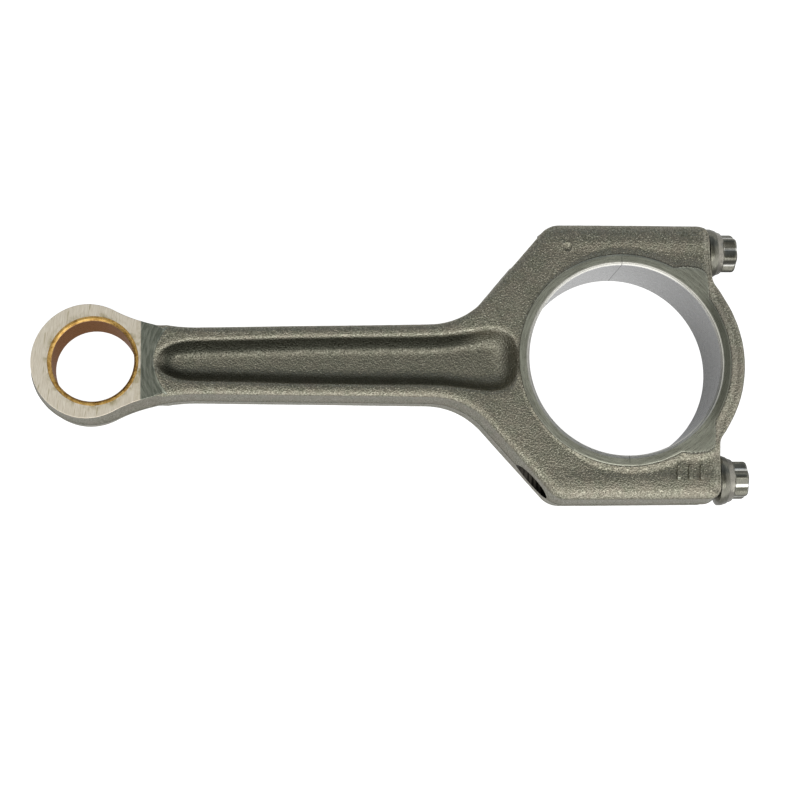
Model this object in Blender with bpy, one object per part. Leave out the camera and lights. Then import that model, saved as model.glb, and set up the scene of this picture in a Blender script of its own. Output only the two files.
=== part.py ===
"""Connecting rod of a passenger-car petrol engine: forged, fracture-split rod and cap, a bronze
small-end bush, and two cap bolts with six-lobe flanged heads. Blender 4.5, metres, +Z up.

The rod lies flat on the thrust faces of its big end, with its length along X and the cap at +X.
Everything is drawn round the centre of the big-end bore, then placed by one parent empty."""

from math import atan2, cos, hypot, pi, radians, sin, sqrt, tan

import bmesh
import bpy
from mathutils import Matrix, Vector

MM = 0.001

# The two bores that the engine sets.
CENTRE_DISTANCE = 144.35 * MM
BIG_BORE_RADIUS = 26.5 * MM
BIG_BORE_CHAMFER = 0.95 * MM
PIN_RADIUS = 11.0 * MM
BUSH_OUTER_RADIUS = 12.2 * MM

# Half thicknesses of the forging, measured from its parting plane.
THRUST_HALF = 10.2 * MM
BIG_END_HALF = 9.7 * MM
SMALL_END_HALF = 8.4 * MM
BEAM_HALF_AT_EYE = 8.5 * MM
BEAM_HALF_AT_BIG_END = 8.6 * MM
EYE_TAPER = radians(3.0)
LAND_FROM_X = -123.0 * MM
BIG_END_RISE = (-60.0 * MM, -37.0 * MM)

# Outline at the parting plane, where the drafted walls are widest.
EYE_RADIUS = 16.3 * MM
EYE_OFFSET = 0.95 * MM
EYE_FILLET = 49.0 * MM
BEAM_START = (-116.0 * MM, 9.8 * MM)
BEAM_SLOPE = 0.0142
SHOULDER_POINT = (-33.5 * MM, 23.35 * MM)
SHOULDER_ANGLE = radians(49.4)
SHOULDER_FILLET = 20.0 * MM
BOSS_HALF_WIDTH = 38.9 * MM
BOSS_SHOULDER_RADIUS = 7.5 * MM
BOSS_END_RADIUS = 4.0 * MM
BOLT_SEAT_X = 26.0 * MM
CROWN_RADIUS = 34.4 * MM
CROWN_FILLET = 3.0 * MM

# Walls lean in from the parting plane, then round over onto the faces.
WALL_DRAFT = 0.7 * MM
EDGE_ROUND = 0.9 * MM

# Machined thrust ring, and its two corner lands on the cap.
THRUST_RING_RADIUS = 29.4 * MM
THRUST_LAND = (9.0 * MM, 23.9 * MM, 14.0 * MM, 25.5 * MM)  # lowest and highest x, then y

# Milled flats beside the eye, and the channel on each face of the beam.
MILLED_FROM_X = -131.6 * MM
MILLED_TO_X = -127.0 * MM
CHANNEL_TIP_X = -128.2 * MM
CHANNEL_TIP_LENGTH = 11.0 * MM
CHANNEL_HALF_WIDTH = 5.6 * MM
CHANNEL_FLARE = ((-50.0 * MM, 7.1 * MM), (-37.5 * MM, 8.9 * MM), (-33.8 * MM, 8.4 * MM))
CHANNEL_END = (-30.0 * MM, 4.4 * MM)
CHANNEL_FLOOR_HALF = 3.6 * MM
CHANNEL_FLOOR_BEND = 1.2 * MM
CHANNEL_SIDE_RUN = 2.7 * MM
CHANNEL_END_RUN = 6.5 * MM
CHANNEL_LIP = 0.6 * MM

# Cap bolts, M9 x 1.25.
BOLT_SPACING = 64.56 * MM
BOLT_HOLE_RADIUS = 4.8 * MM
BOLT_HOLE_HALF_LENGTH = 40.0 * MM
BOLT_HOLE_CENTRE_X = -10.0 * MM
BOLT_SHANK_RADIUS = 4.5 * MM
BOLT_THREAD_RADIUS = 4.4 * MM
BOLT_TIP_RADIUS = 3.5 * MM
BOLT_TIP_LENGTH = 0.9 * MM
BOLT_LENGTH = 47.4 * MM
BOLT_THREAD_LENGTH = 23.0 * MM
STEP_LENGTH = 0.2 * MM
FLANGE_RADIUS = 6.9 * MM
FLANGE_TOP_RADIUS = 6.55 * MM
FLANGE_HEIGHT = 2.5 * MM
CONE_TOP = 4.2 * MM
HEAD_TOP = 8.4 * MM
HEAD_CHAMFER = 0.5 * MM
HEAD_RADIUS = 5.15 * MM
LOBE_DEPTH = 0.75 * MM
LOBES = 6

GAP = 0.3 * MM  # clear space between touching pieces
OVERRUN = 5.0 * MM  # how far a cutter runs past what it cuts

# The frame's origin lies under the middle of the object's box.
EYE_CENTRE_X = -CENTRE_DISTANCE - EYE_OFFSET
LOWEST_X = EYE_CENTRE_X - EYE_RADIUS
HIGHEST_X = BOLT_SEAT_X + HEAD_TOP
BIG_END_CENTRE = ((-(LOWEST_X + HIGHEST_X)) / 2, 0.0, THRUST_HALF)


def clear_scene():
    for item in list(bpy.data.objects):
        bpy.data.objects.remove(item, do_unlink=True)


def make_material(name, colour, roughness, metallic=1.0):
    material = bpy.data.materials.new(name)
    material.use_nodes = True
    shader = material.node_tree.nodes["Principled BSDF"]
    shader.inputs["Base Color"].default_value = (*colour, 1.0)
    shader.inputs["Roughness"].default_value = roughness
    shader.inputs["Metallic"].default_value = metallic
    return material


def make_object(name, mesh, parent, material=None):
    item = bpy.data.objects.new(name, mesh)
    bpy.context.scene.collection.objects.link(item)
    item.parent = parent
    if material:
        mesh.materials.append(material)
    return item


def make_cutter(name, mesh, parent):
    item = make_object(name, mesh, parent)
    item.hide_render = True
    item.display_type = "WIRE"
    return item


def apply_boolean(item, operation, other):
    modifier = item.modifiers.new(f"{operation}_{other.name}", "BOOLEAN")
    modifier.operation = operation
    modifier.object = other
    modifier.solver = "EXACT"


def arc(centre, radius, start, end, steps):
    """Points along an arc, both ends included."""
    angles = [start + (end - start) * i / steps for i in range(steps + 1)]
    return [(centre[0] + radius * cos(a), centre[1] + radius * sin(a)) for a in angles]


def rounded_corner(before, corner, after, radius, steps):
    """The arc that rounds a corner between two straight lines."""
    middle = Vector(corner)
    back = (Vector(before) - middle).normalized()
    ahead = (Vector(after) - middle).normalized()
    half = back.angle(ahead) / 2
    centre = middle + (back + ahead).normalized() * (radius / sin(half))
    first = middle + back * (radius / tan(half)) - centre
    last = middle + ahead * (radius / tan(half)) - centre
    start = atan2(first.y, first.x)
    sweep = (atan2(last.y, last.x) - start + pi) % (2 * pi) - pi
    return arc(centre, radius, start, start + sweep, steps)


def mirrored(half):
    """A closed outline from its upper half, which runs from its lowest x to its highest."""
    lower = [(x, -y) for x, y in reversed(half) if y > 1e-9]
    return half + lower


def forging_outline():
    """The upper half of the rod and cap together, from the tip of the eye to the crown of the cap."""
    eye = (EYE_CENTRE_X, 0.0)
    reach = EYE_FILLET * sqrt(1 + BEAM_SLOPE**2) + BEAM_START[1]
    # The fillet's centre is EYE_FILLET above the beam's line and clear of the eye by both radii.
    rise = reach + BEAM_SLOPE * (eye[0] - BEAM_START[0])
    a = 1 + BEAM_SLOPE**2
    b = BEAM_SLOPE * rise
    c = rise**2 - (EYE_RADIUS + EYE_FILLET) ** 2
    along = (-b + sqrt(b * b - a * c)) / a
    fillet = (eye[0] + along, rise + BEAM_SLOPE * along)
    to_fillet = atan2(fillet[1] - eye[1], fillet[0] - eye[0])
    points = arc(eye, EYE_RADIUS, pi, to_fillet, 20)
    points += arc(fillet, EYE_FILLET, to_fillet - pi, atan2(-1.0, BEAM_SLOPE), 8)[1:]

    shoulder = tan(SHOULDER_ANGLE)
    beam_height = BEAM_START[1] - BEAM_SLOPE * BEAM_START[0]
    shoulder_height = SHOULDER_POINT[1] - shoulder * SHOULDER_POINT[0]
    foot_x = (beam_height - shoulder_height) / (shoulder - BEAM_SLOPE)
    foot = (foot_x, beam_height + BEAM_SLOPE * foot_x)
    top = ((BOSS_HALF_WIDTH - shoulder_height) / shoulder, BOSS_HALF_WIDTH)
    boss_end = (BOLT_SEAT_X, BOSS_HALF_WIDTH)
    points += rounded_corner(BEAM_START, foot, top, SHOULDER_FILLET, 7)
    points += rounded_corner(foot, top, boss_end, BOSS_SHOULDER_RADIUS, 5)
    points += rounded_corner(top, boss_end, (BOLT_SEAT_X, 0.0), BOSS_END_RADIUS, 5)

    neck_x = BOLT_SEAT_X + CROWN_FILLET
    neck = (neck_x, sqrt((CROWN_RADIUS + CROWN_FILLET) ** 2 - neck_x**2))
    to_neck = atan2(neck[1], neck[0])
    points += arc(neck, CROWN_FILLET, pi, to_neck + pi, 4)
    points += arc((0.0, 0.0), CROWN_RADIUS, to_neck, 0.0, 10)[1:]
    return mirrored(points)


def channel_outline(side_run, end_run):
    """The channel in a beam face, its sides moved in by side_run and its ends by end_run."""
    tip_x = CHANNEL_TIP_X + end_run
    body_x = CHANNEL_TIP_X + CHANNEL_TIP_LENGTH + end_run / 2
    width = CHANNEL_HALF_WIDTH - side_run
    half = []
    for i in range(9):
        turn = pi / 2 * i / 8
        half.append((body_x - (body_x - tip_x) * cos(turn), width * sin(turn)))
    for x, y in CHANNEL_FLARE:
        half.append((x - end_run * 0.6, y - side_run * 1.1))
    half.append((CHANNEL_END[0] - end_run, CHANNEL_END[1] - side_run))
    return mirrored(half)


def inset(outline, distance):
    """The outline moved in by distance along the direction square to it."""
    moved = []
    count = len(outline)
    for i, (x, y) in enumerate(outline):
        x0, y0 = outline[i - 1]
        x1, y1 = outline[(i + 1) % count]
        length = hypot(x1 - x0, y1 - y0)
        moved.append((x + (y1 - y0) / length * distance, y - (x1 - x0) / length * distance))
    return moved


def loft(name, rings):
    """A closed mesh through rings with the same number of points, with flat ends."""
    shape = bmesh.new()
    rows = [[shape.verts.new(point) for point in ring] for ring in rings]
    for lower, upper in zip(rows, rows[1:]):
        for i in range(len(lower)):
            shape.faces.new((lower[i - 1], lower[i], upper[i], upper[i - 1]))
    shape.faces.new(rows[0][::-1])
    shape.faces.new(rows[-1])
    return finished(name, shape)


def finished(name, shape):
    bmesh.ops.recalc_face_normals(shape, faces=shape.faces)
    mesh = bpy.data.meshes.new(name)
    shape.to_mesh(mesh)
    shape.free()
    return mesh


def shade_round(mesh):
    mesh.shade_smooth()
    mesh.set_sharp_from_angle(angle=radians(35))


def turned(name, profile, steps):
    """A solid turned round Z from (radius, z) points; a profile that leaves the axis is a ring."""
    shape = bmesh.new()
    ring = [shape.verts.new((radius, 0.0, z)) for radius, z in profile]
    edges = [shape.edges.new((ring[i - 1], ring[i])) for i in range(len(ring))]
    bmesh.ops.spin(
        shape,
        geom=ring + edges,
        cent=(0.0, 0.0, 0.0),
        axis=(0.0, 0.0, 1.0),
        angle=2 * pi,
        steps=steps,
        use_merge=True,
    )
    bmesh.ops.remove_doubles(shape, verts=shape.verts, dist=1e-7)
    return finished(name, shape)


def cylinder(name, radius, half_length, steps, axis="Z"):
    shape = bmesh.new()
    bmesh.ops.create_cone(
        shape,
        cap_ends=True,
        segments=steps,
        radius1=radius,
        radius2=radius,
        depth=2 * half_length,
        matrix=Matrix.Rotation(pi / 2, 4, "Y") if axis == "X" else Matrix.Identity(4),
    )
    return finished(name, shape)


def block(name, low, high):
    shape = bmesh.new()
    size = Vector(high) - Vector(low)
    middle = (Vector(high) + Vector(low)) / 2
    place = Matrix.Translation(middle) @ Matrix.Diagonal(size.to_4d())
    bmesh.ops.create_cube(shape, size=1.0, matrix=place)
    return finished(name, shape)


def make_forging(name, parent, material):
    """The rod and cap before machining: drafted walls, widest at the parting plane."""
    outline = forging_outline()
    wall_half = BIG_END_HALF - EDGE_ROUND
    levels = (
        (-BIG_END_HALF, WALL_DRAFT + EDGE_ROUND),
        (-wall_half, WALL_DRAFT),
        (0.0, 0.0),
        (wall_half, WALL_DRAFT),
        (BIG_END_HALF, WALL_DRAFT + EDGE_ROUND),
    )
    rings = [[(x, y, z) for x, y in inset(outline, distance)] for z, distance in levels]
    mesh = loft(name, rings)
    shade_round(mesh)
    return make_object(name, mesh, parent, material)


def half_thickness_profile():
    """(x, half thickness) along the rod: wedge-shaped eye, milled flat, beam, big end."""
    tip_x = LOWEST_X - OVERRUN
    tip_half = SMALL_END_HALF - (MILLED_FROM_X - tip_x) * tan(EYE_TAPER)
    return [
        (tip_x, tip_half),
        (MILLED_FROM_X, SMALL_END_HALF),
        (MILLED_TO_X, SMALL_END_HALF),
        (LAND_FROM_X, BEAM_HALF_AT_EYE),
        (BIG_END_RISE[0], BEAM_HALF_AT_BIG_END),
        (BIG_END_RISE[1], BIG_END_HALF),
        (BOLT_SEAT_X + 2 * OVERRUN, BIG_END_HALF + OVERRUN),
    ]


def make_side_profile(parent):
    """A prism across the rod, which the forging is cut down to."""
    upper = half_thickness_profile()
    outline = upper + [(x, -half) for x, half in reversed(upper)]
    half_span = BOSS_HALF_WIDTH + OVERRUN
    rings = [[(x, y, z) for x, z in outline] for y in (-half_span, half_span)]
    return make_cutter("side_profile", loft("side_profile", rings), parent)


def make_bore_cutter(name, radius, half_length, chamfer, steps, parent):
    """A bore with a 45 degree chamfer at each face."""
    flare = chamfer + OVERRUN
    profile = [
        (0.0, -half_length - OVERRUN),
        (radius + flare, -half_length - OVERRUN),
        (radius, -half_length + chamfer),
        (radius, half_length - chamfer),
        (radius + flare, half_length + OVERRUN),
        (0.0, half_length + OVERRUN),
    ]
    return make_cutter(name, turned(name, profile, steps), parent)


def make_thrust_faces(parent):
    """The raised ring round the big bore, and the two corner lands beside the cap bolts."""
    ring = cylinder("thrust_ring", THRUST_RING_RADIUS, THRUST_HALF, 96)
    shapes = [make_cutter("thrust_ring", ring, parent)]
    x0, x1, y0, y1 = THRUST_LAND
    for name, low_y, high_y in (("thrust_land_upper", y0, y1), ("thrust_land_lower", -y1, -y0)):
        land = block(name, (x0, low_y, -THRUST_HALF), (x1, high_y, THRUST_HALF))
        shapes.append(make_cutter(name, land, parent))
    return shapes


def make_channels(parent):
    """Cutters for the scooped channel on each face of the beam."""
    levels = (
        (BIG_END_HALF + CHANNEL_LIP, -CHANNEL_LIP, -CHANNEL_LIP),
        (BEAM_HALF_AT_EYE, 0.0, 0.0),
        (CHANNEL_FLOOR_HALF + CHANNEL_FLOOR_BEND, CHANNEL_SIDE_RUN * 0.5, CHANNEL_END_RUN * 0.35),
        (CHANNEL_FLOOR_HALF, CHANNEL_SIDE_RUN, CHANNEL_END_RUN),
    )
    cutters = []
    for name, side in (("channel_top", 1), ("channel_bottom", -1)):
        rings = [[(x, y, side * z) for x, y in channel_outline(s, e)] for z, s, e in levels]
        cutters.append(make_cutter(name, loft(name, rings), parent))
    return cutters


def make_bolt_holes(parent):
    holes = []
    for name, side in (("bolt_hole_upper", 1), ("bolt_hole_lower", -1)):
        mesh = cylinder(name, BOLT_HOLE_RADIUS, BOLT_HOLE_HALF_LENGTH, 40, "X")
        hole = make_cutter(name, mesh, parent)
        hole.location = (BOLT_HOLE_CENTRE_X, side * BOLT_SPACING / 2, 0.0)
        holes.append(hole)
    return holes


def make_bolt(name, parent, side, material):
    """A cap bolt along X: chamfered tip, thread, shank, conical flange, six-lobe head."""
    thread_end = -BOLT_LENGTH + BOLT_THREAD_LENGTH
    rings = [
        (-BOLT_LENGTH, BOLT_TIP_RADIUS, 0.0),
        (-BOLT_LENGTH + BOLT_TIP_LENGTH, BOLT_THREAD_RADIUS, 0.0),
        (thread_end, BOLT_THREAD_RADIUS, 0.0),
        (thread_end + STEP_LENGTH, BOLT_SHANK_RADIUS, 0.0),
        (GAP, BOLT_SHANK_RADIUS, 0.0),
        (GAP, FLANGE_RADIUS, 0.0),
        (FLANGE_HEIGHT, FLANGE_TOP_RADIUS, 0.0),
        (CONE_TOP, HEAD_RADIUS, 0.0),
        (CONE_TOP + STEP_LENGTH, HEAD_RADIUS, LOBE_DEPTH),
        (HEAD_TOP - HEAD_CHAMFER, HEAD_RADIUS, LOBE_DEPTH),
        (HEAD_TOP, HEAD_RADIUS - 2 * HEAD_CHAMFER, LOBE_DEPTH / 2),
    ]
    steps = LOBES * 8

    def ring(x, radius, depth):
        points = []
        for i in range(steps):
            turn = 2 * pi * i / steps
            here = radius - depth * (0.5 - 0.5 * cos(LOBES * turn))
            points.append((x, here * cos(turn), here * sin(turn)))
        return points

    mesh = loft(name, [ring(*level) for level in rings])
    shade_round(mesh)
    bolt = make_object(name, mesh, parent, material)
    bolt.location = (BOLT_SEAT_X, side * BOLT_SPACING / 2, 0.0)
    return bolt


def build():
    clear_scene()
    forged = make_material("forged steel", (0.105, 0.1, 0.08), 0.42)
    cap_forged = make_material("forged steel of the cap", (0.105, 0.1, 0.08), 0.42)
    bronze = make_material("bush bronze", (0.62, 0.36, 0.12), 0.3)
    bolt_steel = make_material("bolt steel", (0.3, 0.29, 0.27), 0.25)

    centre = bpy.data.objects.new("big_end_centre", None)
    bpy.context.scene.collection.objects.link(centre)
    centre.location = BIG_END_CENTRE

    profile = make_side_profile(centre)
    thrust_faces = make_thrust_faces(centre)
    bolt_holes = make_bolt_holes(centre)
    big_bore = make_bore_cutter(
        "big_bore", BIG_BORE_RADIUS, THRUST_HALF, BIG_BORE_CHAMFER, 96, centre
    )
    bush_hole = cylinder("bush_bore", BUSH_OUTER_RADIUS + GAP / 2, 2 * THRUST_HALF, 64)
    bush_bore = make_cutter("bush_bore", bush_hole, centre)
    bush_bore.location = (-CENTRE_DISTANCE, 0.0, 0.0)
    far = 2 * CENTRE_DISTANCE
    cap_block = block("cap_side", (-GAP / 2, -far, -far), (far, far, far))
    rod_block = block("rod_side", (-far, -far, -far), (GAP / 2, far, far))
    cap_side = make_cutter("cap_side", cap_block, centre)
    rod_side = make_cutter("rod_side", rod_block, centre)

    rod = make_forging("rod_body", centre, forged)
    cap = make_forging("bearing_cap", centre, cap_forged)
    for piece, other_side in ((rod, cap_side), (cap, rod_side)):
        apply_boolean(piece, "INTERSECT", profile)
        for shape in thrust_faces:
            apply_boolean(piece, "UNION", shape)
        apply_boolean(piece, "DIFFERENCE", big_bore)
        for hole in bolt_holes:
            apply_boolean(piece, "DIFFERENCE", hole)
        apply_boolean(piece, "DIFFERENCE", other_side)
    for channel in make_channels(centre):
        apply_boolean(rod, "DIFFERENCE", channel)
    apply_boolean(rod, "DIFFERENCE", bush_bore)

    wall = [
        (PIN_RADIUS, -THRUST_HALF),
        (BUSH_OUTER_RADIUS - GAP / 2, -THRUST_HALF),
        (BUSH_OUTER_RADIUS - GAP / 2, THRUST_HALF),
        (PIN_RADIUS, THRUST_HALF),
    ]
    bush_mesh = turned("small_end_bush", wall, 64)
    shade_round(bush_mesh)
    bush = make_object("small_end_bush", bush_mesh, centre, bronze)
    bush.location = (-CENTRE_DISTANCE, 0.0, 0.0)
    apply_boolean(bush, "INTERSECT", profile)

    make_bolt("cap_bolt_upper", centre, 1, bolt_steel)
    make_bolt("cap_bolt_lower", centre, -1, bolt_steel)


build()
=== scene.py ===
import math
from functools import reduce

import bmesh
import bpy
import numpy as np
from mathutils import Matrix, Vector


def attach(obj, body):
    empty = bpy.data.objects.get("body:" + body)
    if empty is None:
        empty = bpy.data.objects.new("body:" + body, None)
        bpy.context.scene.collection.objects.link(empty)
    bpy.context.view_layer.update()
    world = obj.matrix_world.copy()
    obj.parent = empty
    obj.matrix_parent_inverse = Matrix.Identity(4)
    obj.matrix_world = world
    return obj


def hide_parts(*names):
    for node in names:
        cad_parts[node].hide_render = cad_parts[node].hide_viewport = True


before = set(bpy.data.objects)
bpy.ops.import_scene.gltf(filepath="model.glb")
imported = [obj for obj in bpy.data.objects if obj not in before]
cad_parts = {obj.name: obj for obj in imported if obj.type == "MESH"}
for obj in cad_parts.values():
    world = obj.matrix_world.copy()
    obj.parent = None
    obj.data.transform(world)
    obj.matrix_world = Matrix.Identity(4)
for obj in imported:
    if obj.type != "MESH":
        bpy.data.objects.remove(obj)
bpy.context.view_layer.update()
print("frame loaded:", sorted(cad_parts))

# Every length in the dictionaries is in millimetres and every angle in degrees. Shapes are worked out
# round the centre of the big bore, on the forging's parting plane, and then moved to the object frame.
toMetres = 0.001
bigEndPlace = np.array([63.6, 0.0, 10.2])
pinX = -144.35
sharpAngle = 32.0
fullTurn = 2.0 * math.pi

forging = {
    "eyeRadius": 16.26,
    "eyeCentreX": -145.3,
    "eyeFillet": 49.0,
    "beamStart": (-116.0, 9.8),
    "beamSlope": 0.0142,
    "shoulderPoint": (-33.5, 23.35),
    "shoulderAngle": 49.4,
    "shoulderFillet": 20.0,
    "bossHalfWidth": 38.9,
    "bossShoulderRadius": 7.5,
    "bossEndRadius": 4.0,
    "boltSeatX": 26.0,
    "boltY": 32.28,
    "boltHoleRadius": 4.62,
    "boltHoleReach": 45.0,
    "crownRadius": 34.36,
    "crownFillet": 3.0,
    "wallDraft": 0.6,
    "flatSetBack": 0.6,
    "flatRound": 0.18,
    "edgeRound": 1.9,
    "bossRound": 4.4,
    "seatRound": 0.9,
    "crownRound": 2.3,
    "roundDrop": 0.55,
    "roundTurn": 84.0,
    "flashHeight": 0.17,
    "flashHalfWidth": 0.42,
    "lumpHeight": 0.035,
    "bigBoreRadius": 26.5,
    "bigBoreChamfer": 0.58,
    "ringRadius": 29.35,
    "ringStepRun": 0.45,
    "thrustHalf": 10.2,
    "bigEndHalf": 9.7,
    "eyeHalf": 8.4,
    "eyeTaper": 3.0,
    "beamHalfAtEye": 8.62,
    "beamHalfAtBigEnd": 8.75,
    "bushSeatRadius": 12.2,
    "fractureRoughness": 0.1,
    "fractureGap": 0.006,
}
# Where the forging changes along x: the start of each smooth step, and its run.
stepsAlong = {
    "flatStart": (-150.0, 18.0),
    "forged": (-128.5, 4.0),
    "flatEnd": (-127.5, 3.0),
    "beam": (-123.0, 63.0),
    "bigEnd": (-62.0, 27.0),
    "boss": (-40.0, 25.0),
    "capSide": (-20.0, 20.0),
    "seat": (22.4, 3.2),
    "crownRim": (23.0, 3.0),
    "crown": (27.5, 2.4),
}
# How finely the outlines are divided: eye, beam and big end of the rod, the cap, rows across a face.
rodMesh = {"eye": 130, "beam": 215, "bigEnd": 110, "across": 27, "eyeEndX": -130.0, "beamEndX": -36.5}
capMesh = {"around": 190, "across": 22}

milling = {
    "fromX": -131.6,
    "toX": -128.2,
    "curve": 0.044,
    "landRise": 0.26,
    "landShare": 0.35,
    "landCrest": 0.6,
    "landHalf": 2.2,
    "landRun": 0.45,
    "channelGap": 0.2,
    "channelRun": 0.5,
}

channel = {
    "floorHalf": 3.8,
    "tipX": -128.2,
    "tipFromX": -117.0,
    "tipBlend": 1.6,
    "endX": -29.75,
    "endFromX": -40.0,
    "endBlend": 1.2,
    "cornerPower": 3.4,
    "widthAtX": (-128.0, -118.5, -99.7, -89.0, -56.0, -50.0, -43.0, -38.0, -30.0),
    "halfWidths": (5.6, 5.75, 6.25, 6.6, 7.0, 7.2, 8.1, 8.75, 9.0),
    "sideRun": 5.4,
    "tipRun": 3.9,
    "endRun": 9.5,
    "wallPower": 2.7,
    "endPower": 4.4,
    "lipRound": 0.38,
    "lipSink": 0.4,
}

cornerLand = {
    "lowX": 6.0,
    "highX": 24.0,
    "halfY": 25.6,
    "corner": 2.8,
    "wave": 0.35,
    "waveX": 18.0,
    "waveLength": 13.0,
}
ridge = {
    "crestY": 33.4,
    "halfWidth": 3.5,
    "rodHeight": 0.26,
    "capHeight": 0.42,
    "startX": -26.0,
    "fadeIn": 10.0,
}
ringEdge = {
    "rodFall": 0.5,
    "rodRun": 0.8,
    "capFall": 0.86,
    "capRun": 2.6,
    "cutStep": 0.16,
    "cutRun": 0.12,
    "crown": 0.004,
    "crownReach": 9.0,
    "rimSlope": 0.1,
    "rimRadius": 30.2,
}


def smooth(values):
    t = np.clip(values, 0.0, 1.0)
    return t * t * (3.0 - 2.0 * t)


# The smooth step of this name, from 0 before it to 1 past it.
def stepAt(name, x):
    start, run = stepsAlong[name]
    return smooth((x - start) / run)


def toward(first, last, share):
    return first + (last - first) * share


# Points along an arc: centre plus radius times (cos, sin) of an evenly stepped angle.
def arcPoints(centre, radius, start, end, count):
    angle = np.linspace(start, end, count)
    return np.stack([centre[0] + radius * np.cos(angle), centre[1] + radius * np.sin(angle)], axis=1)


# The arc of one radius that touches both straight lines of a corner.
def cornerArc(before, corner, after, radius, count):
    middle = np.array(corner)
    back = (np.array(before) - middle) / np.linalg.norm(np.array(before) - middle)
    ahead = (np.array(after) - middle) / np.linalg.norm(np.array(after) - middle)
    half = math.acos(float(back @ ahead)) / 2.0
    centre = middle + (back + ahead) / np.linalg.norm(back + ahead) * radius / math.sin(half)
    first = middle + back * radius / math.tan(half) - centre
    last = middle + ahead * radius / math.tan(half) - centre
    start = math.atan2(first[1], first[0])
    sweep = (math.atan2(last[1], last[0]) - start + math.pi) % fullTurn - math.pi
    return arcPoints(centre, radius, start, start + sweep, count)


# Upper half of the rod's outline at the parting plane: eye arc, fillet, beam line, shoulder, boss.
def rodOutline():
    f = forging
    eye = (f["eyeCentreX"], 0.0)
    startX, startY = f["beamStart"]
    slope = f["beamSlope"]
    rise = f["eyeFillet"] * math.sqrt(1.0 + slope**2) + startY + slope * (eye[0] - startX)
    a = 1.0 + slope**2
    b = slope * rise
    c = rise**2 - (f["eyeRadius"] + f["eyeFillet"]) ** 2
    along = (-b + math.sqrt(b * b - a * c)) / a
    fillet = (eye[0] + along, rise + slope * along)
    toFillet = math.atan2(fillet[1], fillet[0] - eye[0])
    lean = math.tan(math.radians(f["shoulderAngle"]))
    beamRise = startY - slope * startX
    shoulderRise = f["shoulderPoint"][1] - lean * f["shoulderPoint"][0]
    footX = (beamRise - shoulderRise) / (lean - slope)
    foot = (footX, beamRise + slope * footX)
    top = ((f["bossHalfWidth"] - shoulderRise) / lean, f["bossHalfWidth"])
    end = (0.0, f["bossHalfWidth"])
    parts = [
        arcPoints(eye, f["eyeRadius"], math.pi, toFillet, 240),
        arcPoints(fillet, f["eyeFillet"], toFillet - math.pi, math.atan2(-1.0, slope), 120)[1:],
        cornerArc(f["beamStart"], foot, top, f["shoulderFillet"], 120),
        cornerArc(foot, top, end, f["bossShoulderRadius"], 60),
        np.array([end]),
    ]
    return np.concatenate(parts)


# Upper half of the cap's outline: boss, its rounded end, the bolt seat, a fillet and the crown arc.
def capOutline():
    f = forging
    start = (0.0, f["bossHalfWidth"])
    corner = (f["boltSeatX"], f["bossHalfWidth"])
    neckX = f["boltSeatX"] + f["crownFillet"]
    neck = (neckX, math.sqrt((f["crownRadius"] + f["crownFillet"]) ** 2 - neckX**2))
    toNeck = math.atan2(neck[1], neck[0])
    parts = [
        np.array([start]),
        cornerArc(start, corner, (f["boltSeatX"], 0.0), f["bossEndRadius"], 60),
        arcPoints(neck, f["crownFillet"], math.pi, toNeck + math.pi, 40),
        arcPoints((0.0, 0.0), f["crownRadius"], toNeck, 0.0, 160)[1:],
    ]
    return np.concatenate(parts)


def pathLengths(points):
    steps = np.hypot(*np.diff(points, axis=0).T)
    return np.concatenate([[0.0], np.cumsum(steps)])


def pathAt(points, lengths, wanted):
    return np.stack([np.interp(wanted, lengths, points[:, k]) for k in (0, 1)], axis=1)


# The unit direction square to a path, on its right-hand side, which is inward for both outlines.
def inwardAt(points, lengths, wanted):
    reach = 0.12
    ahead = pathAt(points, lengths, np.minimum(wanted + reach, lengths[-1]))
    behind = pathAt(points, lengths, np.maximum(wanted - reach, 0.0))
    along = (ahead - behind) / np.linalg.norm(ahead - behind, axis=1)[:, None]
    return np.stack([along[:, 1], -along[:, 0]], axis=1)


# Depth of the scooped channel below the beam's face. It is a distance from the lip, scaled by the
# half width, then a wall that is steep at the lip and flattens into the floor.
def channelDepth(x, y, face):
    c = channel
    width = np.interp(x, c["widthAtX"], c["halfWidths"])
    side = np.abs(y) / width
    tip = np.clip((c["tipFromX"] - x) / (c["tipFromX"] - c["tipX"]), 0.0, None)
    end = np.clip((x - c["endFromX"]) / (c["endX"] - c["endFromX"]), 0.0, None)
    power = c["cornerPower"]
    share = np.where(end > 0.0, (end**power + side**power) ** (1.0 / power), np.hypot(tip, side))
    inside = (1.0 - share) * width - c["lipSink"] * c["lipRound"]
    inside = 0.5 * (inside + np.sqrt(inside**2 + c["lipRound"] ** 2))
    nearEnd = smooth(end * c["endBlend"])
    run = toward(c["sideRun"], c["tipRun"], smooth(tip * c["tipBlend"]))
    run = run + (c["endRun"] - c["sideRun"]) * nearEnd
    steepness = toward(c["wallPower"], c["endPower"], nearEnd)
    return (face - c["floorHalf"]) * (1.0 - (1.0 - np.clip(inside / run, 0.0, 1.0)) ** steepness)


# How far the forged skin lies below the ground ring and corner lands. It falls away from their edge by
# a cut step and a smooth one, narrow on the rod's side of the bore and wide on the cap's.
def skinFall(x, gap):
    r = ringEdge
    wide = stepAt("capSide", x)
    fall = toward(r["rodFall"], r["capFall"], wide)
    run = toward(r["rodRun"], r["capRun"], wide)
    cut = r["cutStep"] * smooth(gap / r["cutRun"])
    crown = r["crown"] * np.clip(gap - run, 0.0, r["crownReach"]) ** 2
    return cut + (fall - r["cutStep"]) * smooth(gap / run) + crown


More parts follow.
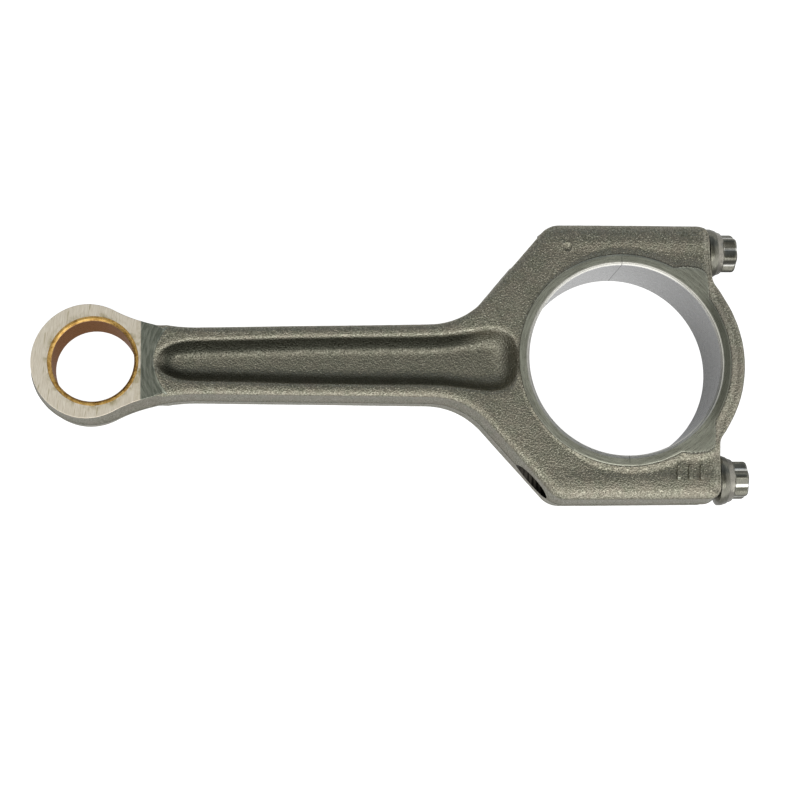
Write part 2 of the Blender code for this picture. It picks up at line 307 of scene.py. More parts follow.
# A low rounded ridge along each bolt: a smooth hump of |y| about its crest, fading in along x.
def bossRidge(x, y):
    r = ridge
    hump = smooth(1.0 - np.abs(np.abs(y) - r["crestY"]) / r["halfWidth"])
    height = toward(r["rodHeight"], r["capHeight"], stepAt("capSide", x))
    return height * hump * smooth((x - r["startX"]) / r["fadeIn"])


# Distance outside a rectangle with rounded corners, negative inside it.
def outsideLand(x, y):
    land = cornerLand
    middle = 0.5 * (land["lowX"] + land["highX"])
    wavy = land["wave"] * np.cos((x - land["waveX"]) * fullTurn / land["waveLength"])
    over = np.abs(x - middle) - 0.5 * (land["highX"] - land["lowX"]) + land["corner"]
    out = np.abs(y) - land["halfY"] - wavy + land["corner"]
    gap = np.hypot(np.clip(over, 0.0, None), np.clip(out, 0.0, None))
    return gap + np.clip(np.maximum(over, out), None, 0.0) - land["corner"]


# Half thickness of the rod over a point: wedge at the eye, milled flat, beam and channel, big end.
def rodHeight(x, y):
    f = forging
    m = milling
    lean = math.tan(math.radians(f["eyeTaper"]))
    eye = f["eyeHalf"] - np.clip(m["fromX"] - x, 0.0, None) * lean
    past = x - (m["toX"] + m["curve"] * y**2)
    beam = toward(f["beamHalfAtEye"], f["beamHalfAtBigEnd"], stepAt("beam", x))
    land = smooth(1.0 - np.abs(past - m["landCrest"]) / m["landHalf"])
    beam = beam + m["landRise"] * land * m["landShare"]
    gap = np.hypot(x, y) - f["ringRadius"]
    bigEnd = f["thrustHalf"] - skinFall(x, np.clip(gap, 0.0, None)) + bossRidge(x, y)
    beam = toward(beam, bigEnd, stepAt("bigEnd", x))
    face = toward(eye, beam, smooth(past / m["landRun"]))
    opened = smooth((past + m["channelGap"]) / m["channelRun"])
    return face - channelDepth(x, y, face) * opened


# Half thickness of the cap: forged face, raised corner lands, and a crown rim that falls outward.
def capHeight(x, y):
    f = forging
    radius = np.hypot(x, y)
    gap = np.minimum(radius - f["ringRadius"], outsideLand(x, y))
    fall = skinFall(x, np.clip(gap, 0.0, None))
    past = np.clip(radius - ringEdge["rimRadius"], 0.0, None)
    rim = ringEdge["rimSlope"] * past * stepAt("crownRim", x)
    return f["thrustHalf"] - fall - rim + bossRidge(x, y)


# Inset and height of each row from the face's edge: over the round, then down the wall by shares of
# the height, to the low ridge that the forging dies leave on the parting plane.
def wallRows(draft, rounding, height):
    f = forging
    draft, rounding, height = (values[:, None] for values in (draft, rounding, height))
    turn = np.linspace(0.0, math.radians(f["roundTurn"]), 9)[None, :]
    inset = draft + rounding * (1.0 - np.sin(turn))
    level = height - f["roundDrop"] * rounding * (1.0 - np.cos(turn))
    share = np.array([0.86, 0.7, 0.52, 0.36, 0.22, 0.12, 0.075, 0.045, 0.02, 0.0])[None, :]
    lower = level[:, -1:] * share
    slope = inset[:, -1:] * lower / level[:, -1:]
    flash = f["flashHeight"] * (1.0 - np.exp(-((lower / f["flashHalfWidth"]) ** 2)))
    lowerInset = np.maximum(slope, 0.0) + flash * np.minimum(1.0, 4.0 * (1.0 - share))
    return np.concatenate([inset, lowerInset], axis=1), np.concatenate([level, lower], axis=1)


# Quads between neighbours in an array of points with this many rows and columns.
def gridQuads(rows, columns, first=0):
    index = np.arange(rows * columns).reshape(rows, columns) + first
    corners = [index[:-1, :-1], index[1:, :-1], index[1:, 1:], index[:-1, 1:]]
    return np.stack(corners, axis=-1).reshape(-1, 4)


def mergedQuads(points, quads):
    keys = np.round(points * 5000.0).astype(np.int64)
    _, firstOf, index = np.unique(keys, axis=0, return_index=True, return_inverse=True)
    return points[firstOf], index.reshape(-1)[quads]


# The upper quarter of a piece, mirrored across its two middle planes, with its shared points merged.
def closedQuads(patches):
    points = np.concatenate([patch.reshape(-1, 3) for patch in patches])
    quads = []
    first = 0
    for patch in patches:
        quads.append(gridQuads(*patch.shape[:2], first))
        first += patch.shape[0] * patch.shape[1]
    quads = np.concatenate(quads)
    points[np.abs(points) < 1e-5] = 0.0
    signs = np.array([[1, 1, 1], [1, -1, 1], [1, 1, -1], [1, -1, -1]])
    allPoints = np.concatenate([points * sign for sign in signs])
    allQuads = np.concatenate([quads + i * len(points) for i in range(4)])
    return mergedQuads(allPoints, allQuads)


# Rings of points from one end of a shape to the other, where the two end rings are single points.
def ringQuads(x, y, z):
    rings = np.stack([x, y, z], axis=-1)
    rings[:, -1] = rings[:, 0]
    rings[0] = rings[0, 0]
    rings[-1] = rings[-1, 0]
    return mergedQuads(rings.reshape(-1, 3), gridQuads(*rings.shape[:2]))


def addObject(name, data):
    item = bpy.data.objects.new(name, data)
    bpy.context.scene.collection.objects.link(item)
    return item


def newMesh(name, shape):
    mesh = bpy.data.meshes.new(name)
    shape.to_mesh(mesh)
    shape.free()
    return mesh


def shadeSmooth(mesh):
    mesh.shade_smooth()
    mesh.set_sharp_from_angle(angle=math.radians(sharpAngle))


# A three-number property of every vertex or face, as an array with one row for each.
def rowsOf(elements, name):
    rows = np.empty(len(elements) * 3)
    elements.foreach_get(name, rows)
    return rows.reshape(-1, 3)


# An object from points in millimetres and quads. A quad with one collapsed side becomes a triangle,
# one with more is dropped, and faces are turned outward.
def finishedObject(name, points, quads):
    same = quads == np.roll(quads, -1, axis=1)
    collapsed = same.sum(axis=1)
    whole = quads[collapsed == 0]
    whole = whole[(whole[:, 0] != whole[:, 2]) & (whole[:, 1] != whole[:, 3])]
    triangles = quads[collapsed == 1][~same[collapsed == 1]].reshape(-1, 3)
    triangles = triangles[(triangles != np.roll(triangles, -1, axis=1)).all(axis=1)]
    mesh = bpy.data.meshes.new(name)
    faces = whole.tolist() + triangles.tolist()
    mesh.from_pydata(((points + bigEndPlace) * toMetres).tolist(), [], faces)
    shape = bmesh.new()
    shape.from_mesh(mesh)
    loose = [v for v in shape.verts if not v.link_faces]
    bmesh.ops.delete(shape, geom=loose, context="VERTS")
    bmesh.ops.recalc_face_normals(shape, faces=shape.faces)
    openEdges = sum(1 for edge in shape.edges if len(edge.link_faces) != 2)
    shape.to_mesh(mesh)
    shape.free()
    shadeSmooth(mesh)
    print(f"{name}: {len(mesh.polygons)} faces, {openEdges} open edges")
    return addObject(name, mesh)


# The machined ring by angle and by place along its profile: bore wall, chamfer, flat face, cut edge.
def ringPatch(angles, height):
    f = forging
    bore = f["bigBoreRadius"]
    chamfer = f["bigBoreChamfer"]
    outer = f["ringRadius"]
    top = f["thrustHalf"]
    step = [0.03, 0.09, 0.15, 0.28, f["ringStepRun"]]
    radius = [
        np.full(9, bore),
        [bore + 0.06, bore + 0.5 * chamfer, bore + chamfer - 0.06],
        np.linspace(bore + chamfer + 0.04, outer - 0.02, 6),
        outer + np.array(step),
    ]
    level = [
        np.linspace(0.0, 1.0, 9) * (top - chamfer),
        [top - chamfer + 0.06, top - 0.5 * chamfer, top - 0.06],
        np.full(6, top),
        np.zeros(len(step)),
    ]
    x = np.concatenate(radius)[None, :] * np.cos(angles)[:, None]
    y = np.concatenate(radius)[None, :] * np.sin(angles)[:, None]
    z = np.broadcast_to(np.concatenate(level), x.shape).copy()
    z[:, -len(step):] = height(x[:, -len(step):], y[:, -len(step):])
    return np.stack([x, y, z], axis=-1)


# The forged face from an inner line out to the round of its edge, and the wall down from there.
def outerPatch(outline, stations, inner, height, draft, rounding, columns):
    lengths = pathLengths(outline)
    edge = pathAt(outline, lengths, stations)
    inward = inwardAt(outline, lengths, stations)
    for end, way in ((0, 1.0), (-1, -1.0)):
        inward[end] = (way, 0.0) if abs(edge[end, 1]) < 1e-6 else (0.0, -1.0)
    faceEdge = edge + inward * (draft + rounding)[:, None]
    share = np.linspace(0.0, 1.0, columns)
    flat = toward(inner[:, None, :], faceEdge[:, None, :], share[None, :, None])
    flatHeight = height(flat[..., 0], flat[..., 1])
    inset, level = wallRows(draft, rounding, flatHeight[:, -1])
    wall = edge[:, None, :] + inward[:, None, :] * inset[..., None]
    plane = np.concatenate([flat, wall[:, 1:]], axis=1)
    z = np.concatenate([flatHeight, level[:, 1:]], axis=1)
    return np.concatenate([plane, z[..., None]], axis=-1)


# Straight lines from an edge down to the parting plane.
def wallBelow(edge, rows):
    points = np.repeat(edge[:, None, :], rows, axis=1)
    points[..., 2] *= np.linspace(0.0, 1.0, rows)[None, :]
    return points


# The broken face at x = 0, below the section's edge, which starts at the top of the bore's wall.
def fracturePatch(ring, outer):
    return wallBelow(np.concatenate([ring[8:], outer[1:]]), 9)


def stationsBetween(marks, counts):
    spans = zip(marks, marks[1:], counts)
    return np.concatenate([marks[:1]] + [np.linspace(a, b, count + 1)[1:] for a, b, count in spans])


def buildRodBody():
    f = forging
    r = rodMesh
    outline = rodOutline()
    lengths = pathLengths(outline)
    marks = [float(np.interp(r[name], outline[:, 0], lengths)) for name in ("eyeEndX", "beamEndX")]
    counts = (r["eye"], r["beam"], r["bigEnd"])
    stations = stationsBetween((0.0, *marks, lengths[-1]), counts)
    seat = f["bushSeatRadius"]
    ringOut = f["ringRadius"] + f["ringStepRun"]
    beamX = np.linspace(pinX + seat, -ringOut, r["beam"] + 1)[1:]
    angles = np.linspace(math.pi, math.pi / 2.0, r["bigEnd"] + 1)
    inner = [
        arcPoints((pinX, 0.0), seat, math.pi, 0.0, r["eye"] + 1),
        np.stack([beamX, np.zeros(len(beamX))], axis=1),
        arcPoints((0.0, 0.0), ringOut, angles[0], angles[-1], len(angles))[1:],
    ]
    edgeX = pathAt(outline, lengths, stations)[:, 0]
    onFlat = stepAt("flatStart", edgeX) * (1.0 - stepAt("flatEnd", edgeX))
    draft = f["wallDraft"] + f["flatSetBack"] * onFlat
    rounding = toward(f["flatRound"], f["edgeRound"], stepAt("forged", edgeX))
    rounding = rounding + (f["bossRound"] - f["edgeRound"]) * stepAt("boss", edgeX)
    outer = outerPatch(outline, stations, np.concatenate(inner), rodHeight, draft, rounding, r["across"])
    ring = ringPatch(angles, rodHeight)
    seatWall = wallBelow(outer[: r["eye"] + 1, 0, :], 7)
    return closedQuads([outer, ring, seatWall, fracturePatch(ring[-1], outer[-1])])


def buildBearingCap():
    f = forging
    count = capMesh["around"] + 1
    outline = capOutline()
    lengths = pathLengths(outline)
    stations = np.linspace(0.0, lengths[-1], count)
    angles = np.linspace(math.pi / 2.0, 0.0, count)
    inner = arcPoints((0.0, 0.0), f["ringRadius"] + f["ringStepRun"], angles[0], angles[-1], count)
    draft = np.full(count, f["wallDraft"])
    edgeX = pathAt(outline, lengths, stations)[:, 0]
    rounding = toward(f["bossRound"], f["seatRound"], stepAt("seat", edgeX))
    rounding = rounding + (f["crownRound"] - f["seatRound"]) * stepAt("crown", edgeX)
    outer = outerPatch(outline, stations, inner, capHeight, draft, rounding, capMesh["across"])
    ring = ringPatch(angles, capHeight)
    return closedQuads([outer, ring, fracturePatch(ring[0], outer[0])])


dash = {
    "places": (13.6, 16.8, 20.0),
    "y": -31.1,
    "halfX": 0.66,
    "halfY": 2.2,
    "height": 0.5,
    "foot": 0.35,
    "lean": 0.1,
    "power": 5.0,
    "steps": 56,
}
dimple = {
    "x": -15.1,
    "y": 31.55,
    "radius": 1.15,
    "depth": 0.5,
    "rim": 0.12,
    "rimReach": 1.15,
    "rimWidth": 0.22,
}


# Low swells of a forging: a sum of plane waves in fixed directions, between -1 and 1.
def swells(points, seed, shortest, longest, count=9):
    rng = np.random.default_rng(seed)
    way = rng.normal(size=(count, 3))
    way /= np.linalg.norm(way, axis=1)[:, None]
    size = np.exp(rng.uniform(math.log(shortest), math.log(longest), count))
    phase = rng.uniform(0.0, fullTurn, count)
    return np.sin(points @ (way * fullTurn / size[:, None]).T + phase).sum(axis=1) / count


# One raised dash: rings of the curve |x / a|^n + |y / b|^n = 1, drawn in towards the top as they rise.
def dashBar(centreX):
    d = dash
    angle = np.linspace(0.0, fullTurn, d["steps"] + 1)
    share = np.array([0.0, 1.16, 1.06, 1.0, 0.94, 0.84, 0.68, 0.4, 0.0])
    level = np.array([-1.0, -1.0, -0.1, 0.3, 0.62, 0.86, 0.97, 1.0, 1.0])
    cosine, sine = (np.sign(v) * np.abs(v) ** (2.0 / d["power"]) for v in (np.cos(angle), np.sin(angle)))
    inset = (1.0 - share)[:, None] * d["halfX"]
    y = np.where(share[:, None] > 0.0, sine[None, :] * (d["halfY"] - inset), 0.0)
    x = share[:, None] * cosine[None, :] * d["halfX"] + d["lean"] * y + centreX
    z = capHeight(x, y + d["y"]) + (level * np.where(level < 0.0, d["foot"], d["height"]))[:, None]
    return ringQuads(x, y + d["y"], z)


# Raised dashes stand where a forging carries its raised mark, sunk a little into the cap's face.
def addDashes(item):
    shape = bmesh.new()
    shape.from_mesh(item.data)
    for centreX in dash["places"]:
        points, quads = dashBar(centreX)
        made = [shape.verts.new(point) for point in (points + bigEndPlace) * toMetres]
        faces = []
        for quad in quads:
            corners = list(dict.fromkeys(quad.tolist()))
            if len(corners) > 2:
                faces.append(shape.faces.new([made[i] for i in corners]))
                faces[-1].smooth = True
        bmesh.ops.recalc_face_normals(shape, faces=faces)
    shape.to_mesh(item.data)
    shape.free()
    item.data.update()


# A round punch mark with a slightly raised rim, on the upper face only.
def dimpleHeights(points):
    d = dimple
    reach = np.hypot(points[:, 0] - d["x"], points[:, 1] - d["y"]) / d["radius"]
    bowl = -d["depth"] * np.sqrt(np.clip(1.0 - reach**2, 0.0, 1.0))
    rim = d["rim"] * np.exp(-(((reach - d["rimReach"]) / d["rimWidth"]) ** 2))
    return (bowl + rim) * (points[:, 2] > 8.5)


# The broken faces: the same rough surface for rod and cap, a hair's breadth apart.
def breakFaces(points, side):
    f = forging
    rough = swells(points, 31, 1.1, 5.0, 16) * 2.2 * f["fractureRoughness"]
    onFace = np.abs(points[:, 0]) < 1e-6
    points[:, 0] += np.where(onFace, rough + side * f["fractureGap"], 0.0)
    return points


# Both bolt holes, cut along X from one place to another.
def cutHoles(item, lowX, highX):
    radius = forging["boltHoleRadius"] * toMetres
    for y in (forging["boltY"], -forging["boltY"]):
        middle = (np.array([0.5 * (lowX + highX), y, 0.0]) + bigEndPlace) * toMetres
        shape = bmesh.new()
        bmesh.ops.create_cone(
            shape,
            cap_ends=True,
            segments=72,
            radius1=radius,
            radius2=radius,
            depth=(highX - lowX) * toMetres,
            matrix=Matrix.Translation(Vector(middle)) @ Matrix.Rotation(math.pi / 2.0, 4, "Y"),
        )
        cutter = addObject("holeCutter", newMesh("holeCutter", shape))
        modifier = item.modifiers.new("hole", "BOOLEAN")
        modifier.operation = "DIFFERENCE"
        modifier.solver = "EXACT"
        modifier.object = cutter
        graph = bpy.context.evaluated_depsgraph_get()
        made = bpy.data.meshes.new_from_object(item.evaluated_get(graph), depsgraph=graph)
        item.modifiers.clear()
        old = item.data
        item.data = made
        made.name = old.name
        bpy.data.objects.remove(cutter)
        bpy.data.meshes.remove(old)
    shadeSmooth(item.data)
    print(f"{item.name}: {len(item.data.polygons)} faces once its bolt holes are cut")


# Moves a mesh's points along the surface's own normals, by a function of where they are.
def lifted(item, heights):
    mesh = item.data
    place = rowsOf(mesh.vertices, "co")
    local = place / toMetres - bigEndPlace
    place += rowsOf(mesh.vertices, "normal") * (heights(local) * toMetres)[:, None]
    mesh.vertices.foreach_set("co", place.ravel())
    mesh.update()


# How much of the forging's own skin is left at a point: none on ground and milled faces or in bores.
def skinShare(points):
    f = forging
    x, y, z = points.T
    high = np.abs(z)
    ground = smooth((high - f["bigEndHalf"] - 0.1) / 0.2) * (x > -32.0)
    ring = smooth((f["ringRadius"] + 1.2 - np.hypot(x, y)) / 0.8)
    seat = smooth((f["bushSeatRadius"] + 0.8 - np.hypot(x - pinX, y)) / 0.4)
    milled = (1.0 - smooth((x + 127.2) / 1.5)) * smooth((high - 6.4) / 0.3)
    broken = smooth((0.5 - np.abs(x)) / 0.4)
    return 1.0 - np.clip(ground + ring + seat + milled + broken, 0.0, 1.0)


def forgingLumps(points):
    fine = swells(points, 5, 1.6, 4.0, 14) * 2.0
    broad = swells(points, 9, 7.0, 22.0, 8) * 1.4
    return forging["lumpHeight"] * (0.6 * fine + broad) * skinShare(points)


bush = {"outer": 12.18, "inner": 11.0, "chamfer": 0.5, "proud": 0.03, "steps": 144}


# A ring round the pin's axis whose ends follow the wedge of the eye. Each row is a radius, how far it
# lies below the end face, and its share of the height.
def buildBush():
    b = bush
    outer, inner, chamfer = b["outer"], b["inner"], b["chamfer"]
    rows = (
        (outer, 0.0, 0.0),
        (outer, 0.1, 1.0),
        (outer - 0.12, 0.0, 1.0),
        (inner + chamfer + 0.08, 0.0, 1.0),
        (inner + chamfer * 0.5, chamfer * 0.62, 1.0),
        (inner, chamfer * 1.15, 1.0),
        (inner, chamfer * 1.4, 1.0),
        (inner, 0.0, 0.0),
    )
    radius, drop, share = np.array(rows).T[:, None, :]
    angle = np.linspace(0.0, math.pi, b["steps"] + 1)[:, None]
    x = pinX + radius * np.cos(angle)
    y = radius * np.sin(angle)
    lean = math.tan(math.radians(forging["eyeTaper"]))
    top = forging["eyeHalf"] + b["proud"] - (milling["fromX"] - x) * lean
    return closedQuads([np.stack([x, y, (top - drop) * share], axis=-1)])


bolt = {
    "length": 47.2,
    "tipRadius": 3.1,
    "threadLength": 24.0,
    "threadSteps": 14.0,
    "pitch": 1.25,
    "major": 4.5,
    "minor": 3.87,
    "runIn": 1.4,
    "runInRadius": 3.15,
    "runInRise": 1.35,
    "runOut": 1.2,
    "shank": 4.45,
    "flangeRadius": 6.88,
    "flangeTop": 6.5,
    "flangeHeight": 2.6,
    "coneTop": 4.25,
    "headTop": 8.38,
    "headRadius": 5.42,
    "headChamfer": 0.9,
    "lobes": 6.0,
    "lobeDepth": 0.95,
    "lobePower": 0.85,
    "dishRadius": 2.5,
    "dishDepth": 0.35,
    "steps": 120,
}
boltCrests = {1.0: 58.0, -1.0: 25.7}


# A bolt along X from tip to head: radius as a function of the place along it and the angle round it.
# The thread's radius is a rounded triangle wave of place over pitch less one turn of the angle.
def buildBolt(side):
    b = bolt
    angle = np.linspace(0.0, fullTurn, b["steps"] + 1)[None, :]
    threadEnd = -b["length"] + b["threadLength"]
    thread = np.arange(-b["length"] + 0.05, threadEnd, b["pitch"] / b["threadSteps"])
    rim, brow, cone, top = (b[name] for name in ("flangeRadius", "flangeHeight", "coneTop", "headTop"))
    head, chamfer, shoulder, dish = b["headRadius"], b["headChamfer"], b["flangeTop"], b["dishRadius"]
    # Past the thread, each row is a place along the bolt, a radius and a share of the lobes' depth.
    rows = [
        (threadEnd + 0.4, b["shank"], 0.0),
        (threadEnd + 1.2, b["shank"], 0.0),
        (-8.0, b["shank"], 0.0),
        (0.02, b["shank"], 0.0),
        (0.02, rim - 0.25, 0.0),
        (0.1, rim - 0.06, 0.0),
        (0.25, rim, 0.0),
        (1.15, rim, 0.0),
        (1.3, rim - 0.03, 0.0),
        (brow - 0.25, shoulder + 0.03, 0.0),
        (brow - 0.06, shoulder - 0.06, 0.0),
        (brow + 0.1, shoulder - 0.25, 0.0),
        (cone - 0.3, head + 0.38, 0.0),
        (cone, head + 0.08, 0.2),
        (cone + 0.18, head, 0.75),
        (cone + 0.45, head, 1.0),
        (top - chamfer - 0.2, head, 1.0),
        (top - chamfer, head - 0.03, 1.0),
        (top - 0.7 * chamfer, head - 0.12, 0.9),
        (top - 0.42 * chamfer, head - 0.32, 0.75),
        (top - 0.2 * chamfer, head - 0.6, 0.6),
        (top - 0.05 * chamfer, head - 0.98, 0.45),
        (top, head - 1.35, 0.3),
        (top, dish + 0.25, 0.0),
        (top - 0.08, dish, 0.0),
        (top - b["dishDepth"], dish - 0.5, 0.0),
        (top - b["dishDepth"], 0.0, 0.0),
    ]
    tip = [(-b["length"], 0.0, 0.0), (-b["length"], b["tipRadius"], 0.0)]
    threaded = [(place, b["major"], 0.0) for place in thread]
    along, plain, lobed = np.array(tip + threaded + rows).T[:, :, None]
    turn = along / b["pitch"] - angle / fullTurn
    wave = np.abs((turn % 1.0) * 2.0 - 1.0)
    depth = (b["major"] - b["minor"]) * smooth(wave * 1.25 - 0.1)
    runIn = np.clip((along + b["length"]) / b["runIn"], 0.0, 1.0)
    runOut = np.clip((threadEnd - along) / b["runOut"], 0.0, 1.0)
    onThread = np.zeros(along.shape)
    onThread[2 : 2 + len(thread)] = 1.0
    radius = plain - depth * onThread * runOut
    started = np.minimum(radius, b["runInRadius"] + b["runInRise"] * runIn)
    radius = np.where(onThread > 0, started, radius)
    lobe = 0.5 - 0.5 * np.cos(b["lobes"] * (angle - math.radians(boltCrests[side])))
    radius = radius - b["lobeDepth"] * lobed * lobe ** b["lobePower"]
    x = np.broadcast_to(along + forging["boltSeatX"], radius.shape)
    return ringQuads(x, radius * np.cos(angle) + side * forging["boltY"], radius * np.sin(angle))


# Fills a node's inputs by name or number, with a link where the value is a socket.
def fill(tree, node, values):
    for name, value in values.items():
        if isinstance(value, bpy.types.NodeSocket):
            tree.links.new(value, node.inputs[name])
        else:
            node.inputs[name].default_value = value
    return node


def put(tree, kind, values=None, **settings):
    node = tree.nodes.new(kind)
    for name, value in settings.items():
        setattr(node, name, value)
    return fill(tree, node, values or {})


def mathOf(tree, operation, *values):
    return put(tree, "ShaderNodeMath", dict(enumerate(values)), operation=operation).outputs[0]


# Products, sums and the greatest of two or more values, taken from left to right.
def times(tree, *values):
    return reduce(lambda a, b: mathOf(tree, "MULTIPLY", a, b), values)


def plus(tree, *values):
    return reduce(lambda a, b: mathOf(tree, "ADD", a, b), values)


def greatest(tree, *values):
    return reduce(lambda a, b: mathOf(tree, "MAXIMUM", a, b), values)


def minus(tree, first, second):
    return mathOf(tree, "SUBTRACT", first, second)


def ramped(tree, value, low, high, lowOut=0.0, highOut=1.0):
    values = {"Value": value, "From Min": low, "From Max": high, "To Min": lowOut, "To Max": highOut}
    return put(tree, "ShaderNodeMapRange", values, interpolation_type="SMOOTHSTEP").outputs["Result"]


def mixed(tree, share, first, second):
    return put(tree, "ShaderNodeMix", {0: share, 2: first, 3: second}, data_type="FLOAT").outputs[0]


def blended(tree, share, first, second):
    tones = [(*tone, 1.0) if isinstance(tone, tuple) else tone for tone in (first, second)]
    values = {0: share, 6: tones[0], 7: tones[1]}
    return put(tree, "ShaderNodeMix", values, data_type="RGBA").outputs[2]


def noiseAt(tree, place, scale, detail=2.0, roughness=0.5, distortion=0.0):
    values = {"Vector": place, "Scale": scale, "Detail": detail, "Roughness": roughness}
    values["Distortion"] = distortion
    return put(tree, "ShaderNodeTexNoise", values).outputs["Fac"]


# A bump whose height of 1 stands for this many millimetres.
def bumped(tree, height, depth):
    values = {"Height": height, "Distance": depth * toMetres, "Strength": 1.0}
    return put(tree, "ShaderNodeBump", values).outputs["Normal"]


# Object coordinates in millimetres round the centre of the big bore.
def partPlace(tree):
    place = put(tree, "ShaderNodeTexCoord").outputs["Object"]
    scale = (1.0 / toMetres,) * 3
    values = {"Location": tuple(-bigEndPlace), "Scale": scale, "Vector": place}
    return put(tree, "ShaderNodeMapping", values, vector_type="POINT").outputs["Vector"]


def partsOf(tree, place):
    return tuple(put(tree, "ShaderNodeSeparateXYZ", {0: place}).outputs)


# Distance from an axis: the root of the sum of two squares.
def distanceOf(tree, x, y):
    return mathOf(tree, "SQRT", plus(tree, times(tree, x, x), times(tree, y, y)))


# A place for noise that runs round an axis: one coordinate along, and a circle for the turn.
def roundPlace(tree, along, turn, size):
    circle = [times(tree, mathOf(tree, part, turn), size) for part in ("COSINE", "SINE")]
    return put(tree, "ShaderNodeCombineXYZ", {"X": along, "Y": circle[0], "Z": circle[1]}).outputs[0]


def newGroup(name, inputs, outputs):
    tree = bpy.data.node_groups.new(name, "ShaderNodeTree")
    kind = "NodeSocketFloat"
    for title, value in inputs.items():
        tree.interface.new_socket(title, in_out="INPUT", socket_type=kind).default_value = value
    for title in outputs:
        tree.interface.new_socket(title, in_out="OUTPUT", socket_type=kind)
    return tree, tree.nodes.new("NodeGroupInput").outputs, tree.nodes.new("NodeGroupOutput")


def group(tree, effect, values):
    return fill(tree, put(tree, "ShaderNodeGroup", node_tree=effect), values).outputs


# Shot-blasted forging skin: fine grain, small pits and slow drifts of tone.
def makeGrainGroup():
    inputs = {"Grain Size": 0.42, "Seed": 0.0}
    tree, inside, outside = newGroup("forgingGrain", inputs, ("Grain", "Pits", "Drift", "Height"))
    offset = put(tree, "ShaderNodeCombineXYZ", {"X": inside["Seed"], "Y": inside["Seed"]}).outputs[0]
    shift = {0: partPlace(tree), 1: offset}
    place = put(tree, "ShaderNodeVectorMath", shift, operation="ADD").outputs[0]
    scale = mathOf(tree, "DIVIDE", 1.0, inside["Grain Size"])
    grain = ramped(tree, noiseAt(tree, place, scale, 1.5, 0.5), 0.34, 0.68)
    cells = put(tree, "ShaderNodeTexVoronoi", {"Vector": place, "Scale": times(tree, scale, 0.8)})
    pits = ramped(tree, cells.outputs["Distance"], 0.05, 0.42)
    drift = ramped(tree, noiseAt(tree, place, 0.24, 4.0, 0.62, 0.4), 0.3, 0.7)
    height = plus(tree, times(tree, grain, 0.45), times(tree, pits, 0.7))
    fill(tree, outside, {"Grain": grain, "Pits": pits, "Drift": drift, "Height": height})
    return tree


# Cutter marks round an axis along Z: noise that is fine across the marks and long along them.
def makeLayGroup():
    inputs = {"Centre X": 0.0, "Across": 9.0, "Along": 9.0}
    tree, inside, outside = newGroup("cutterLay", inputs, ("Lay", "Streaks"))
    x, y, z = partsOf(tree, partPlace(tree))
    x = minus(tree, x, inside["Centre X"])
    away = times(tree, plus(tree, distanceOf(tree, x, y), z), inside["Across"])
    marks = roundPlace(tree, away, mathOf(tree, "ARCTAN2", y, x), inside["Along"])
    lay = ramped(tree, noiseAt(tree, marks, 1.0, 3.0, 0.65), 0.3, 0.7)
    streaks = ramped(tree, noiseAt(tree, marks, 0.28, 2.0, 0.5), 0.35, 0.65)
    fill(tree, outside, {"Lay": lay, "Streaks": streaks})
    return tree


# Marks of a straight grinding pass along one direction of the XY plane.
def makeGrindGroup():
    inputs = {"Turn": 0.0, "Across": 8.0, "Along": 0.5}
    tree, inside, outside = newGroup("grindingMarks", inputs, ("Marks", "Scratches", "Stain"))
    place = partPlace(tree)
    turn = {"Vector": place, "Angle": inside["Turn"]}
    x, y, z = partsOf(tree, put(tree, "ShaderNodeVectorRotate", turn, rotation_type="Z_AXIS").outputs[0])
    stretched = {"X": times(tree, x, inside["Across"]), "Y": times(tree, y, inside["Along"]), "Z": z}
    marks = put(tree, "ShaderNodeCombineXYZ", stretched).outputs[0]
    values = {
        "Marks": ramped(tree, noiseAt(tree, marks, 1.0, 3.0, 0.6), 0.3, 0.7),
        "Scratches": ramped(tree, noiseAt(tree, marks, 0.6, 1.0, 0.4, 0.2), 0.66, 0.74),
        "Stain": ramped(tree, noiseAt(tree, place, 0.35, 4.0, 0.6, 0.5), 0.4, 0.75),
    }
    fill(tree, outside, values)
    return tree


grainGroup = makeGrainGroup()
layGroup = makeLayGroup()
grindGroup = makeGrindGroup()


def newMaterial(name, metallic=1.0):
    material = bpy.data.materials.new(name)
    material.use_nodes = True
    tree = material.node_tree
    shader = tree.nodes["Principled BSDF"]
    shader.inputs["Metallic"].default_value = metallic
    return material, tree, shader


steelLook = {
    "skinDark": (0.168, 0.167, 0.125),
    "skinLight": (0.385, 0.377, 0.303),
    "skinWarm": (0.300, 0.262, 0.215),
    "warmShare": 0.55,
    "pitShare": 0.5,
    "skinRoughness": (0.44, 0.27),
    "skinBump": 0.14,
    "grainSize": 0.46,
    # Painted shade: tones that darken the channel's floor and its wall where the recess lies in shade.
    "channelShadeTone": (0.195, 0.190, 0.152),
    "channelShadeShare": 0.5,
    "channelWallShadeTone": (0.058, 0.060, 0.046),
    "channelWallShadeShare": 0.9,
    "flashTone": (0.13, 0.13, 0.115),
    "flashShare": 0.7,
    "ground": (0.60, 0.61, 0.515),
    "groundDark": (0.45, 0.455, 0.38),
    # Painted shade on the ground ring over the cap's crown.
    "crownGroundShade": (0.17, 0.175, 0.14),
    "crownShadeShare": 0.8,
    "bored": (0.66, 0.66, 0.68),
    "boreShare": 0.25,
    "chamfer": (0.66, 0.65, 0.60),
    "milled": (0.190, 0.205, 0.172),
    "milledLight": (0.33, 0.345, 0.295),
    "champagne": (0.93, 0.86, 0.75),
    "champagneDark": (0.76, 0.68, 0.56),
    "stain": (0.42, 0.35, 0.17),
    "scratchShare": 0.6,
    # seam: the dark tone of the fracture's hairline, also used as painted shade along the cut step round
    # ring and lands.
    "seam": (0.05, 0.05, 0.045),
    "seamShare": 0.75,
    "stepShadeShare": 0.7,
    "cutRoughness": (0.26, 0.38),
    "eyeRougher": 0.16,
    "markDepth": 0.035,
}
